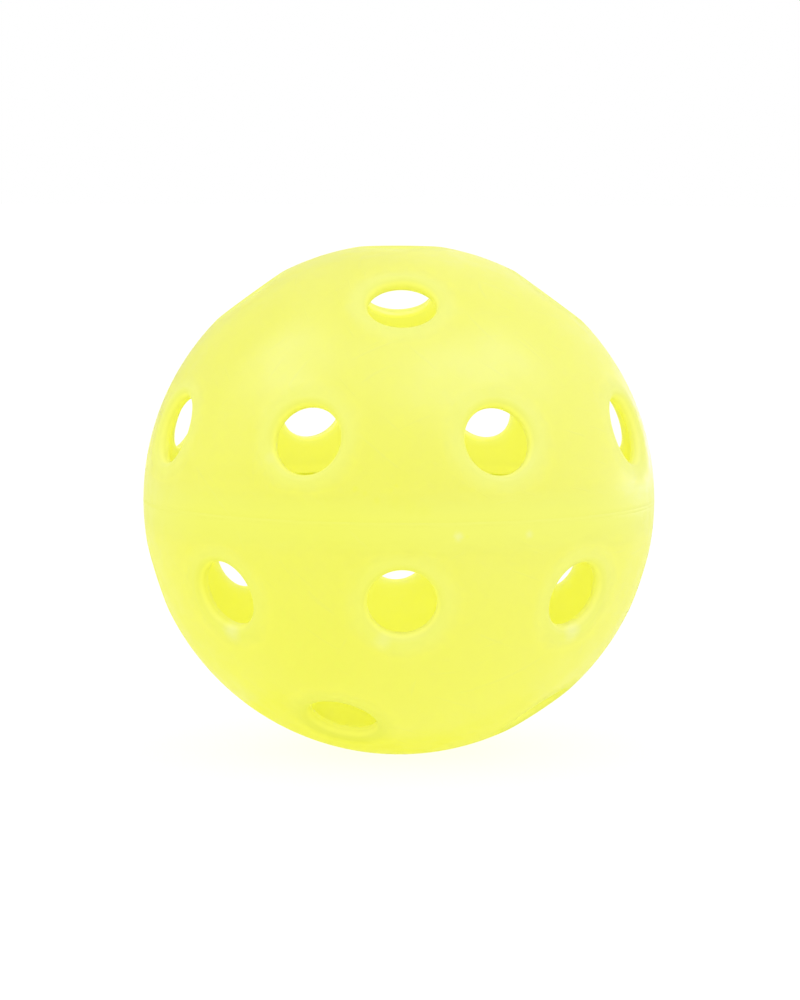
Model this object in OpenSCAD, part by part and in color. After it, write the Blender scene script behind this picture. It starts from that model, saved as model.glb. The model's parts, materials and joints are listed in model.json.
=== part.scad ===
// Hollow perforated plastic ball: two identical moulded half shells, welded at the equator.
// The ball's centre is the origin and its poles lie on Z. The side at -Y faces the viewer.

/* [Ball] */
// Outer diameter of the ball
ball_d = 72; // [60:1:90]
// Thickness of the moulded wall
wall_t = 1.9; // [1.6:0.1:3]

/* [Holes] */
// Diameter of every hole at its straight wall
hole_d = 9.4; // [6:0.1:11]
// Radius of the rounded edge at each hole's outer mouth
mouth_r = 1.1; // [0.4:0.1:1.2]
// Holes in the row beside the equator of each half
side_holes = 8; // [6:1:8]
// Holes in the row between that one and the pole
crown_holes = 4; // [3:1:5]
// Angle of the side row above the equator, in degrees
side_angle = 18; // [15:0.5:20]
// Angle of the crown row above the equator, in degrees
crown_angle = 54; // [50:0.5:58]

/* [Weld] */
// Thickness of the weld web between the two half shells
weld_t = 0.5; // [0.3:0.1:0.8]
// Radius of the two rolls of weld bead inside the ball
roll_r = 0.5; // [0.3:0.1:0.8]
// Height of the trimmed weld line above the ball's surface
witness_h = 0.05; // [0.02:0.01:0.2]

/* [Hidden] */
$fn = 96;
shell_colour = [0.96, 0.99, 0.30];
weld_colour = [0.99, 1, 0.55];

// Radii of the ball's two surfaces
ball_r = ball_d / 2;
cavity_r = ball_r - wall_t;
hole_r = hole_d / 2;

// How far each cutting tool runs past the surface that it cuts
overrun = 2;

// The side row's pitch, and the turn of one half against the other as a share of it
side_pitch = 360 / side_holes;
stagger_share = 0.5;

// The mouth's edge is an arc that touches the straight wall. Its circle stands a little way out
// of the ball, by this share of its radius, so it meets the ball's surface in a clean edge.
rise_share = 0.02;
arc_reach = ball_r - mouth_r * (1 - rise_share);
arc_x = hole_r + mouth_r;
arc_z = sqrt(pow(arc_reach, 2) - pow(arc_x, 2));
// The line through the arc's centre, lengthened past the ball's surface
reach_ratio = (ball_r + overrun) / arc_reach;
// Where the straight wall starts inside the ball
throat_z = sqrt(pow(cavity_r, 2) - pow(hole_r, 2));

// Each roll overlaps its twin a little, and its back lies against the cavity's wall
roll_offset_share = 0.8;
roll_z = roll_r * roll_offset_share;
roll_back_x = sqrt(pow(cavity_r, 2) - pow(roll_z + roll_r, 2));

// One hole's cutting tool along +Z: a straight bore that opens into the rounded mouth
module hole_tool() {
    rotate_extrude()
        difference() {
            polygon([
                [0, throat_z - overrun],
                [hole_r, throat_z - overrun],
                [hole_r, arc_z],
                [arc_x, arc_z],
                [arc_x * reach_ratio, arc_z * reach_ratio],
                [0, arc_z * reach_ratio]
            ]);
            translate([arc_x, arc_z])
                circle(r = mouth_r);
        }
}

// Points the tool at a place on the ball: turn is counted from the viewer's side, towards +X
module aim(turn, lift) {
    rotate([0, 0, turn])
        rotate([90 - lift, 0, 0])
            children();
}

// A row of holes, evenly spaced round the ball
module hole_row(count, first_turn, lift) {
    for (i = [0 : count - 1])
        aim(first_turn + i * 360 / count, lift)
            hole_tool();
}

// One moulded half: a hollow hemisphere with a flat welding edge and its three sets of holes
module half_shell() {
    difference() {
        sphere(r = ball_r);
        sphere(r = cavity_r);
        translate([-ball_r - overrun, -ball_r - overrun, -ball_r - overrun])
            cube([
                2 * (ball_r + overrun),
                2 * (ball_r + overrun),
                ball_r + overrun + weld_t / 2
            ]);
        hole_tool();
        hole_row(crown_holes, 0, crown_angle);
        hole_row(side_holes, side_pitch / 2, side_angle);
    }
}

module upper_half() {
    color(shell_colour)
        half_shell();
}

// The same moulding turned over, and turned so that its side holes fall between the upper ones
module lower_half() {
    color(shell_colour)
        rotate([0, 0, -side_pitch * stagger_share])
            rotate([180, 0, 0])
                half_shell();
}

// The weld: a web between the two flat edges, with two rolls of squeezed-out plastic inside
module weld_bead() {
    color(weld_colour)
        rotate_extrude()
            union() {
                translate([roll_back_x - roll_r / 2, -weld_t / 2])
                    square([ball_r + witness_h - roll_back_x + roll_r / 2, weld_t]);
                intersection() {
                    translate([roll_back_x - 2 * roll_r, -2 * roll_r])
                        square([2 * roll_r, 4 * roll_r]);
                    union() {
                        translate([roll_back_x, roll_z])
                            circle(r = roll_r);
                        translate([roll_back_x, -roll_z])
                            circle(r = roll_r);
                    }
                }
            }
}

upper_half();
lower_half();
weld_bead();
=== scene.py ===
# %% [markdown]
# A hollow ball of fluorescent yellow plastic with round air holes, the kind that is used for
# floorball and indoor hole-ball games. It is two identical moulded half shells, turned half a
# hole pitch against each other and welded together at the equator. This lesson loads the
# ball's engineering model as a fixed frame, builds the visible skins round it as surfaces
# worked out with numpy, and gives them a waxy, slightly see-through plastic.

import json
import math

import bmesh
import bpy
import numpy as np
from mathutils import Matrix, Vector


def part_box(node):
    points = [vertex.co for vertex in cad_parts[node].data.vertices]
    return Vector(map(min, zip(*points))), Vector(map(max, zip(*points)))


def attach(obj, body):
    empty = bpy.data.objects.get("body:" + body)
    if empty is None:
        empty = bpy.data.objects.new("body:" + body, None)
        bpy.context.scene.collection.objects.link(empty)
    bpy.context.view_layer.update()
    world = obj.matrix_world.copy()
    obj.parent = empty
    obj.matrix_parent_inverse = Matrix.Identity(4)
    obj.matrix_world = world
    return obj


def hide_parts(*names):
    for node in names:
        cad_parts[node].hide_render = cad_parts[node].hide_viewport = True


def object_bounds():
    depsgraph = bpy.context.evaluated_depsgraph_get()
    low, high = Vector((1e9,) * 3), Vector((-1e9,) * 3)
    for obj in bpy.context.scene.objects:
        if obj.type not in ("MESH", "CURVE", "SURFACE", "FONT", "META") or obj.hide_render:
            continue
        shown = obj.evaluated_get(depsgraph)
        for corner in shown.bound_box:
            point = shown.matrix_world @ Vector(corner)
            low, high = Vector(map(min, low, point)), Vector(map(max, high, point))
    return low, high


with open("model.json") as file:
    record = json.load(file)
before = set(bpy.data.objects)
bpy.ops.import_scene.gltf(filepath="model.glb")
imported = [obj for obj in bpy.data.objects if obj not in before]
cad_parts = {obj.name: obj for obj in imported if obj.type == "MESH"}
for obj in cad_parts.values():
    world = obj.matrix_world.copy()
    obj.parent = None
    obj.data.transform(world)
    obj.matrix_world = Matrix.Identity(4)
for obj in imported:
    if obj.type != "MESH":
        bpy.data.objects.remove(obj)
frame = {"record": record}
cad_low, cad_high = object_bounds()
print("frame box in mm:", [round(1000 * v, 2) for v in (*cad_low, *cad_high)])

# %% [markdown]
# The driving sizes. The frame already holds the ball's radius, the height of the flat welding
# edge and the radius of the holes, so these are read from it. The wall and the rounded edges
# repeat the real moulding's sizes, in metres.

# %% sizes
half_low, half_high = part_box("upper_half")
ball_r = round(half_high.x, 4)
edge_z = half_low.z
hole_r = frame["record"]["mounts"][0]["dims"]["r_mm"] / 1000
wall_t = 0.0019
mouth_r = 0.0011
throat_edge_r = 0.0003
weld_edge_r = 0.00001
cavity_r = ball_r - wall_t
mouth_x = hole_r + mouth_r
print("ball radius", ball_r, "hole radius", hole_r, "welding edge at", round(edge_z, 6))

# %% [markdown]
# The plan of the holes. Each half has a hole at its pole, a row of four round the crown and a
# row of eight along the side. The counts and angles come from the photograph. The mesh steps
# are fine enough that a hole's edge looks round from close by.

# %% rows of holes and mesh steps
# Lifts of the rows of holes and of the borders between them, in degrees above the equator
side_lift, crown_lift, pole_lift = 18, 54, 90
side_top, crown_top = 36, 72
side_count, crown_count = 8, 4
side_pitch = 360 / side_count
stagger = -side_pitch / 2

# Mesh steps along a border that spans one side hole's pitch, and up one row
steps_across, steps_up = 24, 24

# Rows of points over the two skins, which crowd towards the hole by a power, and points on arcs
outer_rows, inner_rows, crowding = 13, 9, 1.3
mouth_points, edge_points = 12, 6

# From this distance on, the skin is too far from a hole's axis to be marked by the hole
plain_from = 0.009
print("holes in one half:", side_count + crown_count + 1, "and", side_pitch, "degrees between side holes")

# %% [markdown]
# Every point of the ball is named by two angles: the turn, counted from the viewer's side
# towards the right, and the lift above the equator. A hole is a small round interruption in a
# sphere, and a plain grid of meridians would cut its edge into steps. So the skin is divided
# into patches, one for each hole, with borders that neighbours share, and each patch is a
# polar grid round its own hole. The grid's rows then run exactly along the hole's edge.


# %% directions and patch borders
def towards(turn, lift):
    """Unit directions: (sin turn cos lift, -cos turn cos lift, sin lift), angles in degrees."""
    turn, lift = np.broadcast_arrays(np.radians(turn), np.radians(lift))
    return np.stack([np.sin(turn) * np.cos(lift), -np.cos(turn) * np.cos(lift), np.sin(lift)], axis=-1)


def four_sides(turn, half_turn, low, high):
    """The border of a patch: a rectangle in turn and lift, followed once round to the left."""
    across = round(steps_across * 2 * half_turn / side_pitch)
    along = np.linspace(turn - half_turn, turn + half_turn, across + 1)
    up = np.linspace(low, high, steps_up + 1)
    right, left = np.full(steps_up, along[-1]), np.full(steps_up, along[0])
    turns = np.concatenate([along[:-1], right, along[:0:-1], left])
    lifts = np.concatenate([np.full(across, low), up[:-1], np.full(across, high), up[:0:-1]])
    return towards(turns, lifts)


def circle_turns():
    """The turns of the points of a full circle, as far apart as the points of the borders."""
    return np.arange(side_count * steps_across) * side_pitch / steps_across


def round_border(lift):
    """The border of the patch round a pole: a full circle at one lift."""
    return towards(circle_turns(), lift)


# %% [markdown]
# One patch is a profile carried round a hole. The profile starts at the patch's border, runs
# over the outer skin to the hole, rolls over the rounded mouth, goes down the straight wall,
# turns the small inner edge and runs back over the inner skin to the border. Each arc is
# tangent to what it joins, as a moulding tool's edges are.


# %% the profile beside a hole
def arc(centre, radius, start, end, count):
    """Points on a circle in the profile's plane: centre + radius (cos, sin) of evenly spaced angles."""
    angle = np.linspace(start, end, count)
    return np.stack([centre[0] + radius * np.cos(angle), centre[1] + radius * np.sin(angle)])


def hole_profile():
    """(distance from the hole's axis, height along it) from the mouth to the inner edge.

    The mouth's circle lies inside the ball and touches it, so its centre is at ball_r - mouth_r
    from the middle. The inner edge's circle touches the cavity from outside.
    """
    mouth_z = math.sqrt((ball_r - mouth_r) ** 2 - mouth_x ** 2)
    mouth = arc((mouth_x, mouth_z), mouth_r, math.atan2(mouth_z, mouth_x), math.pi, mouth_points)
    inner_x = hole_r + throat_edge_r
    inner_z = math.sqrt((cavity_r + throat_edge_r) ** 2 - inner_x ** 2)
    lean = math.atan2(inner_z, inner_x)
    inner = arc((inner_x, inner_z), throat_edge_r, math.pi, math.pi + lean, edge_points)
    return np.concatenate([mouth, inner], axis=1)


profile = hole_profile()
mouth_angle = math.atan2(*profile[:, 0])
throat_angle = math.atan2(*profile[:, -1])
print("mouth meets the skin at", round(math.degrees(mouth_angle), 2), "degrees from the hole's axis")


# %% one patch of skin
def patch(turn, lift, outer_border, inner_border):
    """Points of one patch, rows by columns: a hole's profile turned round the hole's axis.

    On the skins the angle from the axis goes evenly from the hole to the border, and the angle
    round the axis goes from even steps at the hole to the border's own steps. A fourth number
    with each point is its distance from the hole's axis, cut off at plain_from.
    """
    axis = towards(turn, lift)
    right = towards(turn + 90, 0)
    up = np.cross(axis, right)

    def skin(border, hole_angle, radius, rows):
        away = np.arccos(border @ axis)
        about = np.unwrap(np.arctan2(border @ up, border @ right))
        ramp = np.arange(len(border)) * 2 * math.pi / len(border)
        even = ramp + np.mean(about - ramp)
        share = rows[:, None]
        angle = hole_angle + (away - hole_angle) * share
        return radius * np.sin(angle), radius * np.cos(angle), even + (about - even) * share, even

    inwards = np.linspace(1, 0, outer_rows) ** crowding
    outwards = np.linspace(0, 1, inner_rows) ** crowding
    out_x, out_z, out_about, even = skin(outer_border, mouth_angle, ball_r, inwards)
    in_x, in_z, in_about, _ = skin(inner_border, throat_angle, cavity_r, outwards)
    wall_x, wall_z = (np.repeat(line[1:-1, None], len(even), axis=1) for line in profile)
    wall_about = np.repeat(even[None], len(wall_x), axis=0)
    far = np.concatenate([out_x, wall_x, in_x])[..., None]
    high = np.concatenate([out_z, wall_z, in_z])[..., None]
    about = np.concatenate([out_about, wall_about, in_about])[..., None]
    points = far * (np.cos(about) * right + np.sin(about) * up) + high * axis
    return np.concatenate([points, np.minimum(far, plain_from)], axis=-1)


# %% [markdown]
# The half shell is 13 patches and the flat ring that is welded. Each patch becomes four-sided
# faces between neighbouring rows and columns. Neighbouring patches have the same points on
# their shared borders, so merging the doubles closes the shell.


# %% from grids to one closed mesh
merge_gap = 1e-7


def grid_faces(rows, columns, first):
    """Four-sided faces of a grid whose last column joins its first, with numbers from first on."""
    row, column = np.meshgrid(np.arange(rows - 1), np.arange(columns), indexing="ij")
    beside = (column + 1) % columns
    corners = [row * columns + column, row * columns + beside]
    corners += [corners[1] + columns, corners[0] + columns]
    return np.stack(corners, axis=-1).reshape(-1, 4) + first


def closed_piece(name, grids, crease):
    """Makes one object from grids of points, with shared points merged and creases kept sharp.

    The fourth number of each point becomes the attribute from_hole, for the material.
    """
    faces, first = [], 0
    for grid in grids:
        faces.append(grid_faces(*grid.shape[:2], first))
        first += grid.shape[0] * grid.shape[1]
    mesh = bpy.data.meshes.new(name)
    points = np.concatenate([grid.reshape(-1, 4) for grid in grids])
    mesh.from_pydata(points[:, :3], [], np.concatenate(faces))
    mesh.attributes.new("from_hole", "FLOAT", "POINT").data.foreach_set("value", points[:, 3])
    body = bmesh.new()
    body.from_mesh(mesh)
    bmesh.ops.remove_doubles(body, verts=body.verts, dist=merge_gap)
    holes_left = sum(not edge.is_manifold for edge in body.edges)
    volume = body.calc_volume(signed=True)
    body.to_mesh(mesh)
    body.free()
    mesh.polygons.foreach_set("use_smooth", np.ones(len(mesh.polygons), bool))
    mesh.set_sharp_from_angle(angle=math.radians(crease))
    piece = bpy.data.objects.new(name, mesh)
    bpy.context.scene.collection.objects.link(piece)
    print(name, len(mesh.polygons), "faces,", holes_left, "open edges,", round(volume * 1000 ** 3), "mm3")
    return piece


# %% the points of one half
def ring_points(radii, heights, turns):
    """Rings round Z: (radius sin turn, -radius cos turn, height), one row for each radius."""
    turns = np.radians(turns)[None]
    radii, heights = np.asarray(radii)[:, None], np.asarray(heights)[:, None]
    rings = (radii * np.sin(turns), -radii * np.cos(turns), heights, plain_from)
    return np.stack(np.broadcast_arrays(*rings), axis=-1)


def welding_edge():
    """The flat ring that is welded, with a small round on its outer edge.

    The round's circle touches the ball from inside and the flat from above.
    """
    centre_z = edge_z + weld_edge_r
    centre_x = math.sqrt((ball_r - weld_edge_r) ** 2 - centre_z ** 2)
    start = math.atan2(centre_z, centre_x)
    rounding = arc((centre_x, centre_z), weld_edge_r, start, -math.pi / 2, edge_points)
    inner_x = math.sqrt(cavity_r ** 2 - edge_z ** 2)
    ring = ring_points([*rounding[0], inner_x], [*rounding[1], edge_z], circle_turns()[::-1])
    return ring, math.degrees(start), math.degrees(math.atan2(edge_z, inner_x))


def half_grids():
    """All grids of the upper half: the pole's patch, two rows of patches and the welding edge."""
    edge, outer_low, inner_low = welding_edge()
    grids = [edge, patch(0, pole_lift, round_border(crown_top), round_border(crown_top))]
    for turn in np.arange(crown_count) * 360 / crown_count:
        border = four_sides(turn, 180 / crown_count, side_top, crown_top)
        grids.append(patch(turn, crown_lift, border, border))
    for turn in (np.arange(side_count) + 0.5) * side_pitch:
        outer = four_sides(turn, side_pitch / 2, outer_low, side_top)
        inner = four_sides(turn, side_pitch / 2, inner_low, side_top)
        grids.append(patch(turn, side_lift, outer, inner))
    return grids


def turned_over(points):
    """The same moulding below: a half turn about X, then the stagger about Z."""
    angle = math.radians(stagger)
    x, y, z, far = points[..., 0], -points[..., 1], -points[..., 2], points[..., 3]
    turned_x = x * math.cos(angle) - y * math.sin(angle)
    turned_y = x * math.sin(angle) + y * math.cos(angle)
    return np.stack([turned_x, turned_y, z, far], axis=-1)


shell_crease = 35
upper = closed_piece("upper_shell", half_grids(), shell_crease)
lower = closed_piece("lower_shell", [turned_over(grid) for grid in half_grids()], shell_crease)

# %% [markdown]
# The weld. Two heated edges were pressed together: the soft plastic between them swelled into
# a double roll inside the ball, and the roll outside was trimmed off, which leaves a thin,
# slightly uneven line. It could be two rings of pipe and a strip, but it is one lump on the real
# ball, so it is one closed profile carried round the equator.

# %% sizes of the weld
roll_mean_r, roll_swell = 0.00045, 0.00004
roll_apart_share = 0.8
roll_reach = 0.0009
line_height, line_swell, line_sink = 0.00002, 0.00002, 0.000003
weld_points = 720
lobe_points, line_points = 12, 5
wave_shares = (0.5, 0.3, 0.2)
weld_crease = 50


# %% the weld bead
def waves(turns, *parts):
    """The sum of three waves: wave share times sin(count times turn + start), for (count, start)."""
    return sum(share * np.sin(count * turns + start) for share, (count, start) in zip(wave_shares, parts))


def weld_grid():
    """The weld's closed profile round the equator, with its roll and its trimmed line uneven.

    Inside, the profile is two round lobes whose radius swells by a sum of slow waves. Outside it
    is a low crown between the shells' edges. Its height follows faster waves and it is never
    higher than the frame's own weld: (1 - (z / web) squared) times the height.
    """
    t = np.radians(np.arange(weld_points) * 360 / weld_points)[None]
    roll_r = roll_mean_r + roll_swell * waves(t, (7, 0.4), (17, 2.0), (41, 1.1))
    height = line_height + line_swell * waves(t, (23, 0.9), (61, 2.6), (97, 0))
    back = math.sqrt(cavity_r ** 2 - roll_reach ** 2)
    web = edge_z
    lobe = np.radians(np.linspace(90, 255, lobe_points))[:, None]
    upper_x = back + roll_r * np.cos(lobe)
    upper_z = roll_apart_share * roll_r + roll_r * np.sin(lobe)
    line_z = np.linspace(-web, web, line_points)[:, None]
    line_x = ball_r - line_sink + height * (1 - (line_z / web) ** 2)
    side = np.full(t.shape, back)
    x = np.concatenate([line_x, side, upper_x, upper_x[::-1], side])
    z = np.concatenate([line_z + 0 * t, side * 0 + web, upper_z, -upper_z[::-1], side * 0 - web])
    x = np.concatenate([x, x[:1]])
    z = np.concatenate([z, z[:1]])
    return np.stack([x * np.sin(t), -x * np.cos(t), z, 0 * x + plain_from], axis=-1)


weld = closed_piece("weld_ring", [weld_grid()], weld_crease)

# %% [markdown]
# Shader maths is easier to read as sums than as boxes and wires. This class holds one output
# of a material's node tree, and using it in a sum adds the Math node that works it out.


# %% shader maths
class Wire:
    """One output in a node tree that can be used like a number."""

    def __init__(self, tree, socket=None):
        self.tree, self.socket = tree, socket

    def node(self, kind, settings=None, inputs=None, output=0):
        """Adds any node: its settings first, then a value or a wire for each named input."""
        made = self.tree.nodes.new(kind)
        for name, value in (settings or {}).items():
            setattr(made, name, value)
        for name, value in (inputs or {}).items():
            if isinstance(value, Wire):
                self.tree.links.new(value.socket, made.inputs[name])
            else:
                made.inputs[name].default_value = value
        return Wire(self.tree, made.outputs[output] if made.outputs else None)

    def math(self, operation, *values):
        return self.node("ShaderNodeMath", {"operation": operation}, dict(enumerate(values)))

    def vector(self, operation, *values, output="Vector"):
        return self.node("ShaderNodeVectorMath", {"operation": operation}, dict(enumerate(values)), output)

    def __add__(self, other):
        return self.math("ADD", self, other)

    __radd__ = __add__

    def __mul__(self, other):
        return self.math("MULTIPLY", self, other)

    __rmul__ = __mul__

    def __sub__(self, other):
        return self.math("SUBTRACT", self, other)

    def __rsub__(self, other):
        return self.math("SUBTRACT", other, self)

    def __abs__(self):
        return self.math("ABSOLUTE", self)

    def largest(self, other):
        return self.math("MAXIMUM", self, other)

    def step(self, low, high):
        """0 where this is under low, 1 where it is over high, and a smooth rise between."""
        settings = {"interpolation_type": "SMOOTHSTEP"}
        return self.node("ShaderNodeMapRange", settings, {"Value": self, "From Min": low, "From Max": high})

    def within(self, border, fade):
        """1 up to border + fade[0], 0 from border + fade[1] on, and a smooth fall between."""
        return 1 - self.step(border + fade[0], border + fade[1])

    def blend(self, low, high):
        """A colour between low and high, by this wire."""
        settings = {"data_type": "RGBA", "clamp_factor": True}
        return self.node("ShaderNodeMix", settings, {0: self, 6: low, 7: high}, 2)

    def times(self, share):
        """This wire's colour or point with each of its three numbers times its own share."""
        return self.vector("MULTIPLY", self, share)

    def noise(self, scale, detail=2, roughness=0.5):
        """Smooth noise on this wire's points: scale is how many swells there are in a metre."""
        return self.node("ShaderNodeTexNoise", {}, {
            "Vector": self, "Scale": scale, "Detail": detail, "Roughness": roughness})

    def stretched(self, turn, scale):
        """This wire's points turned by three angles, in degrees, then scaled along each axis."""
        turned = self.node("ShaderNodeMapping", {"vector_type": "TEXTURE"}, {
            "Vector": self, "Rotation": [math.radians(angle) for angle in turn]})
        return turned.times(scale)

    def height(self):
        return self.node("ShaderNodeSeparateXYZ", {}, {"Vector": self}, "Z")

    def along(self, direction):
        """How far this wire's points lie along a direction."""
        return self.vector("DOT_PRODUCT", self, direction, output="Value")

    def distance(self, point):
        """How far this wire's points are from one point."""
        return self.vector("DISTANCE", self, point, output="Value")


def material(name):
    """An empty material, and a wire of the points in the piece's own frame."""
    made = bpy.data.materials.new(name)
    made.use_nodes = True
    made.node_tree.nodes.clear()
    start = Wire(made.node_tree)
    return made, start.node("ShaderNodeTexCoord", output="Object")


def finish(made, shader):
    """Joins a shader to the material's output."""
    shader.node("ShaderNodeOutputMaterial", {}, {"Surface": shader})
    print(made.name, "has", len(made.node_tree.nodes), "nodes")
    return made


# %% [markdown]
# The plastic is polyethylene coloured with a fluorescent dye. It is waxy: light goes some
# millimetres into it and comes out again on either side, so the inside of the ball is nearly
# as bright as its skin. A subsurface shader does this, with a shorter way for blue light, which
# the dye soaks up, so the inside is a deeper yellow. Red and green are hardly soaked up at all:
# their shares are so near 1 that a change in the third digit shows, because light bounces
# inside the ball many times. On the outside, beside the weld and on the rounded mouths of the
# holes, the mould chilled the melt first. There the plastic is denser, and a plain shader
# takes over.

# %% values of the plastic
skin_low = (0.983, 0.9965, 0.123, 1)
skin_high = (0.983, 0.9965, 0.158, 1)
light_depth = 0.02
light_depth_shares = (1.0, 1.0, 0.4)
skin_ior = 1.42

# What the skin's red, green and blue are multiplied by, in each zone
# The inside's share is painted light and shade: it sets how bright and how yellow the shaded inside of the
# ball shows, apart from the same plastic outside
inside_shading_share = (0.9985, 0.9912, 1.47)
dense_share = (0.812, 0.825, 0.98)
# The throat's share and the shade lift are painted light: paler colours on the walls of the holes and in the
# crease beside the weld, where shade falls
throat_painted_light_share = (0.94, 0.945, 1.2)
shade_lift_share = (1.013, 1.0015, 1.0)
# The pale share paints the highlights of the halos and lip glints, and pales the scratches and specks
pale_share = (1.0, 1.0, 2.2)
deep_share = (1.0, 1.0, 0.75)

# How strongly the halo round a hole, a painted highlight, and the scratches are pale, and the inside is dense
halo_highlight_strength, scratch_strength, inside_density = 0.14, 0.08, 0.15

# The skin's roughness where it is glossiest, and what clouds, blotches, the pale marks and glints, and lips
# add to it
skin_gloss, uneven_gloss, lip_dullness = 0.27, 0.10, 0.3

# How far the skin's relief goes up and down, in metres
wave_height, grain_height, blotch_height, scratch_depth = 0.00006, 0.000004, 0.000006, 0.000006

# Each noise: swells in a metre, layers of detail and how rough they are
cloud_noise, blotch_noise = (60, 4, 0.6), (200, 3, 0.65)
wave_noise, grain_noise, melt_noise, chip_noise = (90, 1), (1400, 3), (260, 2), (2200, 2)
blotch_low, blotch_high = 0.38, 0.62

# Painted light and shade: the blue share of the colour changes towards one side, paler towards the right
# where more light falls, deeper towards the lower left and the bottom where shade falls. Each row gives a
# direction, where the change starts and ends along it as shares of the radius, and the share that it comes to
painted_shading_tones = (
    ((0.82, -0.4, -0.4), 0.1, 1.0, 1.32),
    ((-0.7, 0.0, -0.7), 0.75, 0.99, 0.72),
    ((0.0, 0.0, -1.0), 0.82, 0.99, 0.45),
)

# %% [markdown]
# Marks of use and painted highlights. A ball that has been played with has fine straight scratches and small
# pale and deep spots. The pale spots on the lips of four holes are painted highlights, the glints of the
# lamps there. Painting a picture of them would fix them to one resolution, so they are worked out: the
# scratches from stretched noise, and each spot from its distance to a chosen point.

# %% places of the marks
# Turn, lift, radius in metres and strength. The pale spots are two pale specks beside the weld and painted
# highlights on the lower lips of four holes, where the lamps glint. The deep ones are a broken pressed line,
# and a dot beside a speck.
glints_and_pale_spots = (
    (11.9, -2.6, 0.0010, 0.7),
    (28.2, -2.7, 0.0009, 0.5),
    (-46.0, -26.6, 0.0026, 1.0),
    (-4.6, -26.6, 0.0022, 0.6),
    (47.0, -26.6, 0.0026, 0.8),
    (-30.4, 13.4, 0.0018, 0.4),
)
deep_spots = (
    (-10.2, 7.4, 0.0006, 1.0),
    (-8.1, 6.4, 0.0006, 0.6),
    (-5.5, 5.1, 0.0007, 0.8),
    (-2.4, 7.3, 0.0004, 0.8),
    (-1.4, 8.2, 0.0004, 0.8),
    (-1.5, 4.4, 0.0016, 0.4),
    (1.5, 3.8, 0.0018, 0.4),
    (4.5, 3.2, 0.0016, 0.4),
    (13.9, -2.7, 0.0004, 0.8),
)
spot_raggedness = 0.0005

# Each set of scratches: the noise's turn, and its swells in a metre across the scratches. Along
# the scratches it has few. They fade in where the noise rises from one ridge value to the next.
scratch_sets = (((20, 35, 0), 2600), ((-50, 10, 40), 3100), ((75, -30, 15), 2200))
scratch_along = (70, 90)
ridge_low, ridge_high = 0.70, 0.76
print(len(glints_and_pale_spots), "pale spots and", len(deep_spots), "deep spots")


# %% marks of use
def scratches(place):
    """Thin straight marks: noise drawn out along two axes and squeezed along the third.

    Each set lies in its own direction, and only the noise's highest ridges show.
    """
    sets = []
    for turn, squeeze in scratch_sets:
        ridges = place.stretched(turn, (*scratch_along, squeeze)).noise(1, 1)
        sets.append(ridges.step(ridge_low, ridge_high))
    return sets[0].largest(sets[1]).largest(sets[2])


def spots(place, ragged, marks):
    """Each mark is 1 in its middle and 0 at its ragged edge, times its strength; the highest counts."""
    highest = None
    for turn, lift, radius, strength in marks:
        away = place.distance(towards(turn, lift) * ball_r) + ragged
        spot = strength * away.within(0, (0, radius))
        highest = spot if highest is None else highest.largest(spot)
    return highest


# %% the skin's colour
def tinted(colour, where, share):
    """The colour, and where the second wire is 1, the colour times share."""
    return where.blend(colour, colour.times(share))


def skin_colour_with_shading(place, clouds):
    """The outside's colour: cloudy, with painted light and shade that make it paler or deeper in blue towards
    some sides.
    """
    colour = clouds.blend(skin_low, skin_high)
    for direction, start, end, blue in painted_shading_tones:
        where = place.along(direction).step(start * ball_r, end * ball_r)
        colour = tinted(colour, where, (1, 1, blue))
    return colour


# %% [markdown]
# The shell's material changes from zone to zone: outside and inside, the walls of the holes, their lips, a
# halo round each lip, which is a painted highlight, and strips along the weld. Separate materials would show
# hard borders between them. One material with soft-edged zones, worked out from distances, has none. With the
# two shaders alone, the walls of the holes, the crease beside the weld's inner roll and the lowest lips came
# out darker than in the photograph. There painted light lifts the shade: a faint emission, and on the walls
# and in the crease a paler colour.

# %% borders of the zones
# Where each soft border starts and ends, in metres: the skin's from the cavity's sphere, the
# wall's from the hole's straight wall, the lips' and the halo's from the mouth's outer circle,
# and the others from the equator
skin_fade = (0.0003, 0.0009)
wall_fade = (0, 0.0006)
lip_fade = (-0.0002, 0.0026)
halo_fade = (0, 0.003)
beside_weld_fade = (0.0015, 0.005)
crease_fade = (0.0005, 0.004)
crease_painted_light_fade = (0.0004, 0.0026)
low_lip_fade = (-0.0002, 0.0008)
lip_raggedness = 0.0016

# Heights between which the painted light on the lowest lips ends, as shares of the radius
low_lip_shares = (-0.92, -0.78)

# Colours of the painted light: a faint emission that lifts the shade on the walls of the holes, in the crease
# and on the lowest lips
dark = (0, 0, 0, 1)
wall_painted_light = (0.06, 0.06, 0.005, 1)
crease_painted_light = (0.11, 0.11, 0.01, 1)
low_lip_painted_light = (0.06, 0.055, 0, 1)


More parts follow.
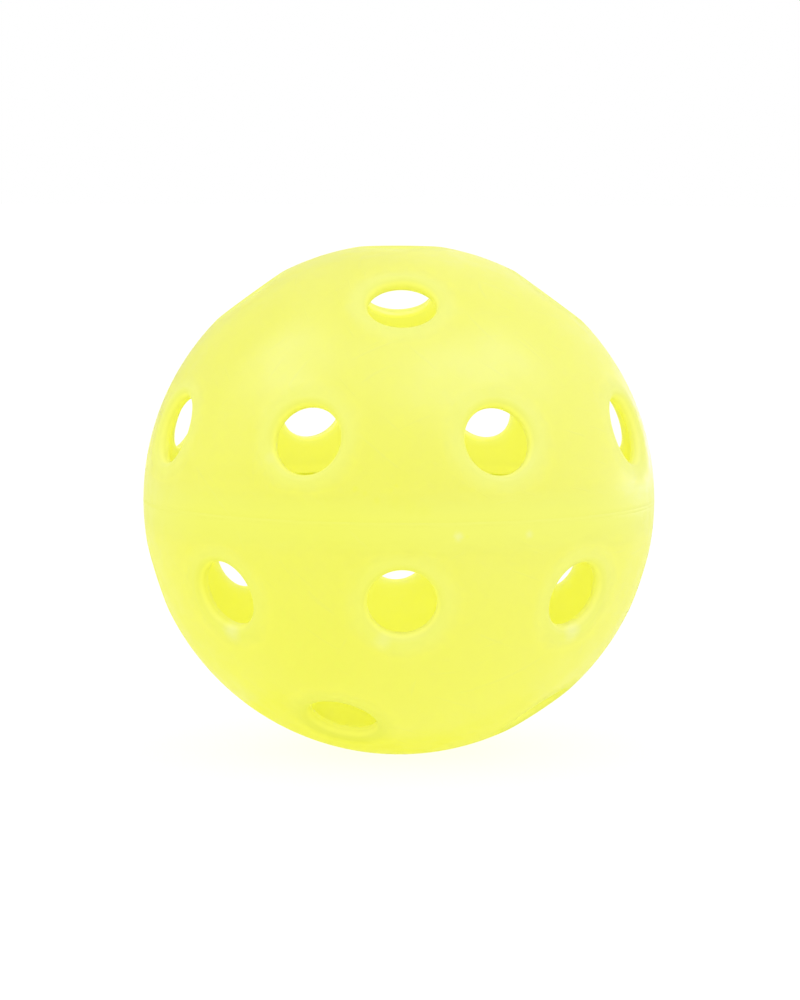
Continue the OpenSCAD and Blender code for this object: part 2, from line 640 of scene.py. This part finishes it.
# %% zones of a shell
def shell_zones(place):
    """Wires that are 1 in one zone of a shell and 0 elsewhere, by the zone's name.

    They come from three distances: from the ball's middle, from the equator and from the axis
    of the hole. The last is a little ragged for the lips and halos, as melt is.
    """
    from_hole = place.node("ShaderNodeAttribute", {"attribute_name": "from_hole"}, output="Fac")
    ragged = from_hole + lip_raggedness * (place.noise(*melt_noise) - 0.5)
    height = place.height()
    from_weld = abs(height)
    outside = place.distance((0, 0, 0)).step(*(cavity_r + border for border in skin_fade))
    inside = 1 - outside
    lip = outside * ragged.within(mouth_x, lip_fade)
    low_lip = lip * from_hole.step(*(mouth_x + border for border in low_lip_fade))
    return {
        "outside": outside,
        "inside": inside,
        "wall": from_hole.within(hole_r, wall_fade),
        "lip": lip,
        "low lip": low_lip * (1 - height.step(*(share * ball_r for share in low_lip_shares))),
        "halo": outside * ragged.within(mouth_x, halo_fade),
        "beside weld": outside * from_weld.within(0, beside_weld_fade),
        "crease": inside * from_weld.within(0, crease_fade),
        "crease painted light": inside * from_weld.within(0, crease_painted_light_fade),
    }


def shell_colour(place, clouds, zones, glints_and_pale_marks, pressed):
    """The skin's colour outside and a deeper one inside, set apart by painted light and shade, with pale and
    deep marks, painted highlights on the halos and lips, and painted light on the walls and in the crease.
    """
    inner_colour = clouds.blend(skin_low, skin_high).times(inside_shading_share)
    outer_colour = tinted(skin_colour_with_shading(place, clouds), pressed, deep_share)
    colour = zones["outside"].blend(inner_colour, outer_colour)
    # The halos and the lip glints are painted highlights; the scratches and specks are marks
    colour = tinted(colour, (halo_highlight_strength * zones["halo"]).largest(glints_and_pale_marks), pale_share)
    # Painted light: the walls of the holes and the crease beside the weld are made paler, against the shade
    # there
    return tinted(colour, zones["wall"].largest(zones["crease"]), shade_lift_share)


def shell_painted_light(zones):
    """Painted light: a faint emission that lifts the shade on the walls, in the crease and on the lowest
    lips.
    """
    glow = (zones["wall"] * zones["inside"]).blend(dark, wall_painted_light)
    glow = zones["crease painted light"].blend(glow, crease_painted_light)
    return zones["low lip"].blend(glow, low_lip_painted_light)


# %% the shell's plastic
def shell_plastic():
    """A waxy shader and a plain one, mixed by how dense the plastic is."""
    made, place = material("fluorescent shell plastic")
    zones = shell_zones(place)
    clouds = place.noise(*cloud_noise)
    blotches = place.noise(*blotch_noise).step(blotch_low, blotch_high)
    marks = scratches(place)
    ragged = spot_raggedness * (place.noise(*chip_noise) - 0.5)
    # The pale spots on the lips are painted highlights, glints of the lamps; the scratches and the specks
    # beside the weld are marks
    glints_and_pale_marks = spots(place, ragged, glints_and_pale_spots).largest(scratch_strength * marks * zones["outside"])
    pressed = spots(place, ragged, deep_spots)
    colour = shell_colour(place, clouds, zones, glints_and_pale_marks, pressed)
    roughness = skin_gloss + uneven_gloss * clouds + uneven_gloss * blotches + uneven_gloss * glints_and_pale_marks
    relief = wave_height * place.noise(*wave_noise) + grain_height * place.noise(*grain_noise)
    relief = relief + blotch_height * blotches - scratch_depth * marks
    common = {
        "Roughness": roughness + lip_dullness * zones["lip"],
        "IOR": skin_ior,
        "Normal": place.node("ShaderNodeBump", {}, {"Strength": 1.0, "Distance": 1.0, "Height": relief}),
        # Painted light against the shade on the walls, in the crease and on the lowest lips
        "Emission Color": shell_painted_light(zones),
        "Emission Strength": 1.0,
    }
    clear = place.node("ShaderNodeBsdfPrincipled", {}, {
        "Base Color": colour,
        "Subsurface Weight": 1.0,
        "Subsurface Radius": light_depth_shares,
        "Subsurface Scale": light_depth,
        **common,
    })
    dense_colour = tinted(colour, 1 - zones["wall"], dense_share)
    # On the walls of the holes the plain shader's colour is paler too, painted light against their shade
    dense_colour = tinted(dense_colour, zones["wall"], throat_painted_light_share)
    dense = place.node("ShaderNodeBsdfPrincipled", {}, {"Base Color": dense_colour, **common})
    packed = zones["beside weld"].largest(zones["lip"]).largest(glints_and_pale_marks)
    packed = packed.largest(inside_density * zones["inside"])
    return finish(made, place.node("ShaderNodeMixShader", {}, {0: packed, 1: clear, 2: dense}))


# %% [markdown]
# The weld is the same plastic after melting, and duller. The rolls inside get a paler colour, painted light
# that lifts the shade in the crease where they sit. The trimmed line outside should hardly show, so it takes
# its colour from the skin beside it, with the skin's painted light and shade.

# %% the weld's plastic
weld_fade = (0.0005, 0.001)
# The rolls' paler colour is painted light against their shade
roll_painted_light_colour = (0.985, 0.985, 0.2, 1)
weld_roughness, weld_ior = 0.45, 1.5


def weld_plastic():
    """A plain shader: the dense skin's colour on the line outside, and inside a paler one, painted light on
    the rolls.
    """
    made, place = material("melted weld plastic")
    line_colour = skin_colour_with_shading(place, place.noise(*cloud_noise)).times(dense_share)
    outside = place.distance((0, 0, 0)).step(*(cavity_r + border for border in weld_fade))
    shader = place.node("ShaderNodeBsdfPrincipled", {}, {
        "Base Color": outside.blend(roll_painted_light_colour, line_colour),
        "Roughness": weld_roughness,
        "IOR": weld_ior,
    })
    return finish(made, shader)


shell_material = shell_plastic()
weld_material = weld_plastic()
for piece, node, slot, plastic in (
    (upper, "upper_half", "shell_plastic", shell_material),
    (lower, "lower_half", "shell_plastic", shell_material),
    (weld, "weld_bead", "weld_plastic", weld_material),
):
    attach(piece, "root")
    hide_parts(node)
    piece.data.materials.append(plastic)

# %% [markdown]
# The studio. In the photograph the ball lies on white and has hardly any shade, as on a table
# that is lit from below. So the floor both reflects and gives light, a little yellow like the
# light that the ball throws down, and a white room lights the ball from all sides. What the
# camera and the ball's gloss see of both is white, on the floor with the ball's faint shadow.

# %% values of the floor and the room
floor_r = 3
floor_colour = (0.97, 0.97, 0.62, 1)
floor_light, floor_light_strength = (1, 1, 0.45, 1), 1.1
floor_light_share = 0.45
shown_grey, shown_glow_strength = (0.2, 0.2, 0.2, 1), 0.84
room_strength = 1.168
white = (1, 1, 1, 1)

# %% floor
bpy.ops.mesh.primitive_circle_add(vertices=96, radius=floor_r, fill_type="NGON", location=(0, 0, cad_low.z))
floor = bpy.context.object
floor.name = "floor"


def seen_directly(start):
    """1 for what the camera, a gloss or a clear material shows, 0 for what only lights."""
    camera, gloss, clear = (
        start.node("ShaderNodeLightPath", output=name)
        for name in ("Is Camera Ray", "Is Glossy Ray", "Is Transmission Ray")
    )
    return camera.largest(gloss.largest(clear))


def floor_finish():
    """One mix of paint and glow that lights the ball, and a paler sum of both that shows."""
    made, start = material("white floor")
    paint = start.node("ShaderNodeBsdfDiffuse", {}, {"Color": floor_colour})
    glow = start.node("ShaderNodeEmission", {}, {"Color": floor_light, "Strength": floor_light_strength})
    lights = start.node("ShaderNodeMixShader", {}, {0: floor_light_share, 1: paint, 2: glow})
    shaded = start.node("ShaderNodeBsdfDiffuse", {}, {"Color": shown_grey})
    lifted = start.node("ShaderNodeEmission", {}, {"Color": white, "Strength": shown_glow_strength})
    shows = start.node("ShaderNodeAddShader", {}, {0: shaded, 1: lifted})
    return finish(made, start.node("ShaderNodeMixShader", {}, {0: seen_directly(start), 1: lights, 2: shows}))


floor.data.materials.append(floor_finish())

# %% room light
world = bpy.data.worlds.new("white room")
bpy.context.scene.world = world
world.use_nodes = True
world.node_tree.nodes.clear()
room = Wire(world.node_tree)
lit = room.node("ShaderNodeBackground", {}, {"Color": white, "Strength": room_strength})
seen = room.node("ShaderNodeBackground", {}, {"Color": white, "Strength": 1})
mixed = room.node("ShaderNodeMixShader", {}, {0: seen_directly(room), 1: lit, 2: seen})
room.node("ShaderNodeOutputWorld", {}, {"Surface": mixed})

# Light must be able to bounce this often, or the inside of so bright a ball turns grey
light_bounces = 32
bpy.context.scene.cycles.max_bounces = light_bounces
bpy.context.scene.cycles.diffuse_bounces = light_bounces
print("room light", room_strength, "and up to", light_bounces, "bounces")

# %% [markdown]
# Four soft lamps give the skin its faint sheen at the upper left, the upper right, the top and
# the right edge. The sheen in the photograph is whiter than the plastic but no brighter. The
# plastic lacks only blue, so the lamps are bluish, and only the ball's gloss shows them.

# %% lamps
studio_r = 0.8
lamp_colour = (0.35, 0.42, 1.0)

# Name, turn, lift, width, height and how bright the lamp's face is beside the white room
lamps = (
    ("lamp upper left", -82, 51, 0.5, 0.34, 4.2),
    ("lamp upper right", 58, 55, 0.85, 0.4, 4.0),
    ("lamp overhead", 0, 62, 0.6, 0.6, 1.5),
    ("lamp right rear", 135, 1.0, 0.75, 0.12, 2.6),
)


def softbox(name, turn, lift, width, height, brightness):
    """A flat lamp that stands in the direction of turn and lift, and faces the ball."""
    lamp = bpy.data.lights.new(name, "AREA")
    lamp.shape = "RECTANGLE"
    lamp.size, lamp.size_y = width, height
    lamp.color = lamp_colour
    lamp.energy = brightness * math.pi * width * height
    holder = bpy.data.objects.new(name, lamp)
    bpy.context.scene.collection.objects.link(holder)
    holder.location = towards(turn, lift) * studio_r
    holder.rotation_euler = (math.radians(90 - lift), 0, math.radians(turn))
    holder.visible_camera = False
    holder.visible_diffuse = False
    print(name, round(lamp.energy, 2), "W")


for lamp_values in lamps:
    softbox(*lamp_values)

# %% [markdown]
# The rim of a glossy ball mirrors what lies behind it and under it. A photographer steers that
# with boards. A grey board behind the left side keeps the upper left rim from turning white,
# and two cards on the floor, of which the smaller lies right under the ball, make the bottom
# rim yellow.


# %% boards
def board(name, place, tilt, turn, size, colour):
    """A flat board that only the ball's gloss shows: it decides what a rim mirrors."""
    made, start = material(name)
    finish(made, start.node("ShaderNodeEmission", {}, {"Color": (*colour, 1)}))
    bpy.ops.mesh.primitive_plane_add(size=size, location=place)
    sheet = bpy.context.object
    sheet.name = name
    sheet.rotation_euler = (math.radians(tilt), 0, math.radians(turn))
    sheet.data.materials.append(made)
    for kind in ("camera", "diffuse", "transmission", "shadow", "volume_scatter"):
        setattr(sheet, "visible_" + kind, False)


board_turn, board_lift = -142, 32
board_place = towards(board_turn, board_lift) * studio_r
card_t = 0.00001
board("grey board", board_place, 90 - board_lift, board_turn, 1.0, (0.6, 0.6, 0.6))
board("pale card", (0, 0.24, cad_low.z + card_t), 0, 0, 0.6, (1.0, 1.0, 0.75))
board("yellow card", (0, 0.01, cad_low.z + 2 * card_t), 0, 0, 0.05, (1.0, 1.0, 0.35))

# %% [markdown]
# The camera looks from a little above the equator, far enough away that the ball shows almost
# as a flat disc. Its distance, height and turn come from the places of the holes in the
# photograph, and its lens from the ball's width there.

# %% camera
photo_width, photo_height = 800, 1000
ball_centre_px = (398.9, 498.86)
ball_radius_px = 255.5
camera_distance = 16.3 * ball_r
camera_turn, camera_lift, camera_roll = -0.84, 5.5, 0.245

view = bpy.data.cameras.new("camera")
view.sensor_width = 36
focal_px = ball_radius_px * math.sqrt((camera_distance / ball_r) ** 2 - 1)
view.lens = view.sensor_width * focal_px / photo_height
view.shift_x = (photo_width / 2 - ball_centre_px[0]) / photo_height
view.shift_y = (ball_centre_px[1] - photo_height / 2) / photo_height
view.clip_start, view.clip_end = 0.01, 20
camera = bpy.data.objects.new("camera", view)
bpy.context.scene.collection.objects.link(camera)
turned, lifted, rolled = (math.radians(angle) for angle in (camera_turn, 90 - camera_lift, camera_roll))
camera.matrix_world = (
    Matrix.Translation(towards(camera_turn, camera_lift) * camera_distance)
    @ Matrix.Rotation(turned, 4, "Z")
    @ Matrix.Rotation(lifted, 4, "X")
    @ Matrix.Rotation(rolled, 4, "Z")
)
bpy.context.scene.camera = camera
bpy.context.scene.view_settings.view_transform = "Standard"
print("lens", round(view.lens, 1), "mm at", round(1000 * camera_distance), "mm")
